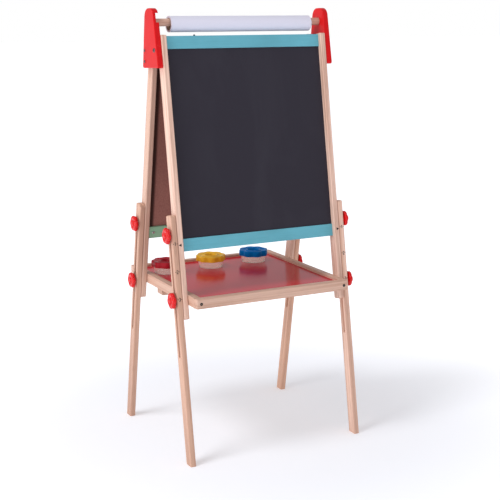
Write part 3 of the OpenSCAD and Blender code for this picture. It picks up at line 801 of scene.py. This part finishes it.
# Each digit is a line through points that are shares of its width and height
DIGITS = (
    [(0.2, 0.8), (0.5, 1.0), (0.5, 0.0)],
    [(0.0, 0.8), (0.5, 1.0), (1.0, 0.75), (0.0, 0.0), (1.0, 0.0)],
    [(0.0, 0.9), (0.5, 1.0), (1.0, 0.75), (0.5, 0.52), (1.0, 0.25), (0.5, 0.0), (0.0, 0.1)],
)


def stroke(start, end):
    """Flat printed line between two points."""
    start, end = Vector(start), Vector(end)
    along = (end - start).normalized()
    aside = Vector((-along.y, along.x)) * STROKE / 2
    outline = [start - aside, end - aside, end + aside, start + aside]
    return plate("stroke", [tuple(p) for p in outline], 2 * MARK_THICK, MARK_THICK / 2, steps=1)


def height_marks(centre_x, width):
    """Digits down the leg's front face, each between two ticks that reach the face's edges."""
    lines = []
    for drop, digit in zip(MARK_DROPS, DIGITS):
        left = centre_x - DIGIT_WIDTH / 2
        points = [(left + x * DIGIT_WIDTH, -drop + (y - 0.5) * DIGIT_HEIGHT) for x, y in digit]
        lines += [stroke(a, b) for a, b in zip(points, points[1:])]
        for way in (-1, 1):
            tick = centre_x + way * (DIGIT_WIDTH / 2 + TICK_GAP)
            lines.append(stroke((tick, -drop), (centre_x + way * (width / 2 - TICK_MARGIN), -drop)))
    return lines


for which in FRAMES:
    for side in SIDES:
        leg = f"leg_{which}_{side}"
        low, high = box_in(leg, SPACE[which])
        face = Matrix.Translation((0, low.y, 0)) @ FACE_PLANE
        marks = joined(leg + "_marks", height_marks((low.x + high.x) / 2, high.x - low.x))
        move(marks, SPACE[which] @ face)
        set_in(marks, [], MARKS, leg)
        post = f"{which}_post_{side}"
        low, high = box_in(post, SPACE[which])
        outward = side_in(which, side)
        tip_x = (high.x if outward > 0 else low.x) - outward * POINTER_GAP
        base_x = tip_x - outward * POINTER_SIZE
        triangle = [(tip_x, -POINTER_DROP), (base_x, -POINTER_DROP - POINTER_SIZE / 2),
                    (base_x, -POINTER_DROP + POINTER_SIZE / 2)]
        pointer = plate(post + "_pointer", triangle, 2 * MARK_THICK, MARK_THICK / 2, steps=1)
        move(pointer, SPACE[which] @ Matrix.Translation((0, low.y, 0)) @ FACE_PLANE)
        set_in(pointer, [], MARKS, which + "_frame")


# ---------------------------------------------------------------- knobs

KNOB_LOBES = 6
KNOB_VALLEY = 0.14
KNOB_RADIUS = 20 * MM
KNOB_NECK_ROUND = 0.6 * MM


def knob_lobes(angle):
    """Share of the knob's radius: wide lobes with a narrow valley between each two."""
    return 1.0 - KNOB_VALLEY * ((1 - math.cos(KNOB_LOBES * angle)) / 2) ** 2


def knob_profile(radius, height):
    """From the neck's base on the washer, round the lobed rim and over the crown to the middle boss."""
    neck = 0.5 * radius
    boss = 0.36 * radius
    points = [(0, 0.0), (neck - KNOB_NECK_ROUND, 0.0), (neck, KNOB_NECK_ROUND), (neck, 0.14 * height),
              (1.08 * neck, 0.17 * height, 0.1), (0.84 * radius, 0.17 * height, 0.9)]
    points += [(0.88 * radius + 0.12 * radius * math.cos(a),
                0.36 * height + 0.19 * height * math.sin(a), 1.0)
               for a in [math.radians(d) for d in (-75, -50, -25, 0)]]
    points += [(0.66 * radius + 0.34 * radius * math.cos(a),
                0.50 * height + 0.35 * height * math.sin(a), 0.4 + 0.6 * math.cos(a))
               for a in [math.radians(d) for d in (6, 20, 35, 50, 65, 80, 92)]]
    points += [(0.56 * radius, 0.81 * height, 0.25), (0.47 * radius, 0.73 * height, 0.1),
               (0.40 * radius, 0.71 * height)]
    points += [(boss * math.cos(a), 0.75 * height + 0.25 * height * math.sin(a))
               for a in [math.radians(d) for d in (4, 22, 42, 60, 76)]]
    return points + [(0, height)]


for which in FRAMES:
    for side in SIDES:
        for level in LEVELS:
            name = f"{which}_{side}_{level}"
            node = "knob_" + name
            low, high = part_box(node)
            axis = Vector(joints["turn_" + name]["pos_m"])
            base_x = high.x if side == "left" else low.x
            knob = turned(node + "_piece", knob_profile(KNOB_RADIUS, high.x - low.x), knob_lobes, 96)
            turn = random.Random(name).uniform(-0.3, 0.3)
            move(knob, toward((base_x, axis.y, axis.z), (OUTWARD[side], 0, 0), turn))
            set_in(knob, [node], MATERIAL[node])


# ---------------------------------------------------------------- tray

TRAY_EDGE = 1.4 * MM
TRAY_CORNER = 4.5 * MM
BATTEN_LOW_RADIUS = 5 * MM
BATTEN_TOP_RADIUS = 1 * MM
SQUARE_CORNER = 0.3 * MM


def end_rail_outline(node, outer):
    """Plan of a rail whose two outer corners are rounded; outer is -1 at the front and 1 behind."""
    low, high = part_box(node)
    corners = [(low.x, low.y), (high.x, low.y), (high.x, high.y), (low.x, high.y)]
    radii = [TRAY_CORNER, TRAY_CORNER, SQUARE_CORNER, SQUARE_CORNER]
    return rounded(corners, radii if outer < 0 else radii[::-1])


for node, outer in (("tray_front_rail", -1), ("tray_rear_rail", 1)):
    low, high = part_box(node)
    rail = plate(node + "_piece", end_rail_outline(node, outer), high.z - low.z, TRAY_EDGE)
    move(rail, Matrix.Translation((0, 0, middle(node).z)))
    set_in(rail, [node], MATERIAL[node])

for side in SIDES:
    node = f"tray_{side}_rail"
    low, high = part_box(node)
    rail_outline = rounded([(low.x, low.z), (high.x, low.z), (high.x, high.z), (low.x, high.z)],
                           [TRAY_EDGE] * 4)
    rail = plate(node + "_piece", rail_outline, high.y - low.y, SQUARE_CORNER)
    move(rail, Matrix.Translation((0, middle(node).y, 0)) @ FACE_PLANE)
    set_in(rail, [node], MATERIAL[node])

low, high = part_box("tray_batten")
batten_corners = [(low.x, low.z), (high.x, low.z), (high.x, high.z), (low.x, high.z)]
batten_radii = [BATTEN_LOW_RADIUS] * 2 + [BATTEN_TOP_RADIUS] * 2
batten = plate("tray_batten_piece", rounded(batten_corners, batten_radii), high.y - low.y, TRAY_EDGE)
move(batten, Matrix.Translation((0, middle("tray_batten").y, 0)) @ FACE_PLANE)
set_in(batten, ["tray_batten"], MATERIAL["tray_batten"])

TRAY_SCREW_X = 195.3 * MM
TRAY_HEAD = 1.0 * MM
TRAY_DRIVE = 2.4 * MM
TRAY_SUNK = 0.9 * MM
TRAY_GRIP = 30 * MM
BATTEN_GRIP = 20 * MM
front_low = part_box("tray_front_rail")[0]
rear_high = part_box("tray_rear_rail")[1]
tray_mid_z = middle("tray_front_rail").z
batten_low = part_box("tray_batten")[0]
tray_screws = []
for way in (-1, 1):
    x = way * TRAY_SCREW_X
    spots = (((x, front_low.y, tray_mid_z), (0, -1, 0), TRAY_GRIP),
             ((x, rear_high.y, tray_mid_z), (0, 1, 0), TRAY_GRIP),
             ((x, middle("tray_batten").y, batten_low.z), (0, 0, -1), BATTEN_GRIP))
    for number, (point, direction, grip) in enumerate(spots):
        head = fixing(SCREW_RADIUS, TRAY_HEAD, SCREW_SHANK, grip, cross, TRAY_DRIVE, TRAY_SUNK)
        tray_screws.append(move(head, toward(point, direction, 0.5 + number + way)))
tray_steel = steel("tray_screw_steel", 0.05, 0.45)
set_in(joined("tray_screws_piece", tray_screws), ["tray_screws"], tray_steel)


# ---------------------------------------------------------------- dowel and paper roll

DOWEL_CHAMFER = 1.2 * MM
low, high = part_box("dowel")
dowel_half = (high.x - low.x) / 2
dowel_radius = (high.z - low.z) / 2
half_profile = [(0, -dowel_half), (dowel_radius - DOWEL_CHAMFER, -dowel_half),
                (dowel_radius, -dowel_half + DOWEL_CHAMFER)]
dowel_profile = half_profile + [(r, -h) for r, h in reversed(half_profile)]
dowel = turned("dowel_piece", dowel_profile)
move(dowel, toward(middle("dowel"), (1, 0, 0)))
set_in(dowel, ["dowel"], MATERIAL["dowel"])

PAPER_STEP = 0.35 * MM
PAPER_END_ANGLE = 215.0
SPIRAL_STEPS = 144
# Just short of a full turn, which leaves a step at the paper's loose end
SPIRAL_TURN = 360.0 * 0.998
ROLL_EDGE = 0.15 * MM
CORE_EDGE = 0.3 * MM
CORE_BORE = 13.3 * MM
low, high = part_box("paper_roll")
roll_length = high.x - low.x
roll_radius = (high.z - low.z) / 2
core_low, core_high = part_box("paper_core")
core_radius = (core_high.z - core_low.z) / 2
spiral = []
for i in range(SPIRAL_STEPS + 1):
    angle = math.radians(PAPER_END_ANGLE + SPIRAL_TURN * i / SPIRAL_STEPS)
    r = roll_radius - PAPER_STEP * (1 - i / SPIRAL_STEPS)
    spiral.append((r * math.cos(angle), r * math.sin(angle)))
roll = plate("paper_roll_piece", spiral, roll_length, ROLL_EDGE, [circle(core_radius, 72)], steps=1)
move(roll, Matrix.Translation(middle("paper_roll")) @ SIDE_PLANE)
set_in(roll, ["paper_roll"], MATERIAL["paper_roll"])
core = plate("paper_core_piece", circle(core_radius, 72), roll_length, CORE_EDGE, [circle(CORE_BORE, 72)])
move(core, Matrix.Translation(middle("paper_roll")) @ SIDE_PLANE)
set_in(core, ["paper_core"], MATERIAL["paper_core"])


# ---------------------------------------------------------------- paint pots

LID_LOBES = 8
LID_VALLEY = 0.10
CUP_WALL = 1.6 * MM
CUP_RIM_RADIUS = 34 * MM
CUP_FOOT_RADIUS = 31 * MM
LID_RADIUS = 39 * MM
SKIRT_LOW = 18 * MM
FUNNEL_MOUTH = 5 * MM
FUNNEL_RADIUS = 15 * MM
LID_FIRST_TURN = math.radians(22.5)
LID_NEXT_TURN = 0.12


def lid_lobes(angle):
    """Share of the lid's radius: shallow scallops round its edge."""
    return 1.0 - LID_VALLEY * ((1 - math.cos(LID_LOBES * angle)) / 2) ** 1.5


def cup_profile(height):
    """Outside from the middle of the foot to the rim, then down the inside."""
    foot, rim = CUP_FOOT_RADIUS, CUP_RIM_RADIUS
    raised = 0.8 * MM
    outside = [(0, raised), (foot - 4 * MM, raised), (foot - 3.4 * MM, 0.0), (foot - 1.6 * MM, 0.0)]
    outside += [(foot - 1.6 * MM + 1.6 * MM * math.cos(a), 1.6 * MM + 1.6 * MM * math.sin(a))
                for a in [math.radians(d) for d in (-60, -30, 0)]]
    inside = [(rim, height - 0.6 * MM), (rim - 0.5 * MM, height), (rim - CUP_WALL + 0.3 * MM, height),
              (rim - CUP_WALL, height - 0.5 * MM), (foot - CUP_WALL, 3.6 * MM),
              (foot - CUP_WALL - 1.6 * MM, 2.1 * MM), (0, 2.0 * MM)]
    return outside + inside


def lid_profile(low, high, funnel_low, rim_height):
    """Closed outline: funnel, top, lobed edge, skirt, underside and the funnel's outside."""
    top = high - 1.3 * MM
    skirt = CUP_RIM_RADIUS + 0.35 * MM
    under = rim_height + 0.35 * MM
    wall = 1.6 * MM
    profile = [(FUNNEL_MOUTH, funnel_low), (FUNNEL_RADIUS, top - 1.2 * MM),
               (FUNNEL_RADIUS + 0.8 * MM, top + 0.6 * MM), (FUNNEL_RADIUS + 2.2 * MM, high),
               (FUNNEL_RADIUS + 4.0 * MM, high - 0.3 * MM, 0.1),
               (FUNNEL_RADIUS + 6.0 * MM, top - 1.0 * MM, 0.3),
               (0.66 * LID_RADIUS, top - 2.0 * MM, 0.7), (0.77 * LID_RADIUS, top - 0.6 * MM, 1.0),
               (0.86 * LID_RADIUS, high - 0.2 * MM, 1.0), (0.92 * LID_RADIUS, high, 1.0)]
    profile += [(0.93 * LID_RADIUS + 0.07 * LID_RADIUS * math.sin(a),
                 high - 3 * MM + 3 * MM * math.cos(a), 1.0)
                for a in [math.radians(d) for d in (25, 50, 75, 90)]]
    profile += [(LID_RADIUS, low + 1.0 * MM, 1.0), (LID_RADIUS - 0.6 * MM, low, 1.0),
                (skirt + 0.3 * MM, low), (skirt, low + 0.4 * MM), (skirt, under),
                (FUNNEL_RADIUS - 0.4 * MM, under), (FUNNEL_MOUTH + wall, funnel_low + 0.6 * MM),
                (FUNNEL_MOUTH + wall - 0.6 * MM, funnel_low)]
    return profile


for number, place in enumerate(("left", "middle", "right")):
    cup_node, lid_node = "cup_" + place, "lid_" + place
    low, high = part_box(cup_node)
    stand = Matrix.Translation((middle(cup_node).x, middle(cup_node).y, low.z))
    cup = turned(cup_node + "_piece", cup_profile(high.z - low.z), None, 96)
    set_in(move(cup, stand), [cup_node], MATERIAL[cup_node])
    lid_bottom, lid_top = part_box(lid_node)
    profile = lid_profile(SKIRT_LOW, lid_top.z - low.z, lid_bottom.z - low.z, high.z - low.z)
    lid = turned(lid_node + "_piece", profile, lid_lobes, 128, closed=True)
    spin = Matrix.Rotation(LID_FIRST_TURN + LID_NEXT_TURN * number, 4, "Z")
    set_in(move(lid, stand @ spin), [lid_node], MATERIAL[lid_node])


# ---------------------------------------------------------------- studio

# The floor glows softly, more so from GLOW_NEAR out to GLOW_FAR, until it joins the white backdrop
FLOOR_HALF = 30.0
FLOOR_GLOW_NEAR = 0.275
FLOOR_GLOW_FAR = 0.66
GLOW_NEAR = 0.35
GLOW_FAR = 1.3
LIGHT_TINT = (0.985, 0.975, 1.0)
SKY_LOW = 0.68
SKY_HIGH = 0.42
floor = new_object("floor", [Vector((x, y, 0.0)) for x, y in
                             ((-1, -1), (1, -1), (1, 1), (-1, 1))], [(0, 1, 2, 3)])
move(floor, Matrix.Scale(FLOOR_HALF, 4))
floor_shader = Shader("floor", roughness=0.9, colour=(0.85, 0.875, 0.94), Specular_IOR_Level=0.0,
                      Emission_Color=(1.0, 1.0, 1.0, 1.0))
from_middle = floor_shader.node("VectorMath", {0: floor_shader.place()}, operation="LENGTH")
glow = floor_shader.node("MapRange", {"Value": from_middle.outputs["Value"], "From Min": GLOW_NEAR,
                                      "From Max": GLOW_FAR, "To Min": FLOOR_GLOW_NEAR,
                                      "To Max": FLOOR_GLOW_FAR}, interpolation_type="SMOOTHSTEP")
floor_shader.tree.links.new(glow.outputs[0], floor_shader.surface.inputs["Emission Strength"])
floor.data.materials.append(floor_shader.material)


def studio_world():
    """White backdrop for the camera; for the object, soft light that is stronger from low down."""
    world = bpy.data.worlds.new("studio")
    bpy.context.scene.world = world
    world.use_nodes = True
    tree = world.node_tree
    direction = tree.nodes.new("ShaderNodeSeparateXYZ")
    tree.links.new(tree.nodes.new("ShaderNodeTexCoord").outputs["Generated"], direction.inputs[0])
    height = tree.nodes.new("ShaderNodeMapRange")
    height.inputs["To Min"].default_value = SKY_LOW
    height.inputs["To Max"].default_value = SKY_HIGH
    tree.links.new(direction.outputs["Z"], height.inputs["Value"])
    light = tree.nodes["Background"]
    light.inputs["Color"].default_value = (*LIGHT_TINT, 1.0)
    tree.links.new(height.outputs[0], light.inputs["Strength"])
    backdrop = tree.nodes.new("ShaderNodeBackground")
    backdrop.inputs["Color"].default_value = (1.0, 1.0, 1.0, 1.0)
    seen = tree.nodes.new("ShaderNodeMixShader")
    tree.links.new(tree.nodes.new("ShaderNodeLightPath").outputs["Is Camera Ray"], seen.inputs[0])
    tree.links.new(light.outputs[0], seen.inputs[1])
    tree.links.new(backdrop.outputs[0], seen.inputs[2])
    tree.links.new(seen.outputs[0], tree.nodes["World Output"].inputs["Surface"])


studio_world()


def soft_light(name, place, target, size, power):
    light = bpy.data.lights.new(name, "AREA")
    light.shape = "DISK"
    light.size = size
    light.energy = power
    holder = bpy.data.objects.new(name, light)
    holder.location = place
    holder.rotation_euler = (Vector(target) - Vector(place)).to_track_quat("-Z", "Y").to_euler()
    bpy.context.scene.collection.objects.link(holder)


soft_light("key", (-1.9, -0.2, 3.4), (0.0, 0.0, 0.4), size=1.2, power=38.0)
soft_light("fill", (-4.0, -0.9, 1.5), (0.0, 0.0, 0.6), size=2.0, power=42.0)

# Angles in degrees, the lens in millimetres
CAMERA_PLACE = (-1.2705, -2.4867, 1.0664)
CAMERA_TILT = 77.77
CAMERA_YAW = -27.69
CAMERA_LENS = 81.0
camera = bpy.data.cameras.new("camera")
camera.lens = CAMERA_LENS
camera.clip_end = 100.0
camera_object = bpy.data.objects.new("camera", camera)
camera_object.location = CAMERA_PLACE
camera_object.rotation_euler = (math.radians(CAMERA_TILT), 0.0, math.radians(CAMERA_YAW))
bpy.context.scene.collection.objects.link(camera_object)
bpy.context.scene.camera = camera_object
bpy.context.scene.view_settings.view_transform = "Standard"
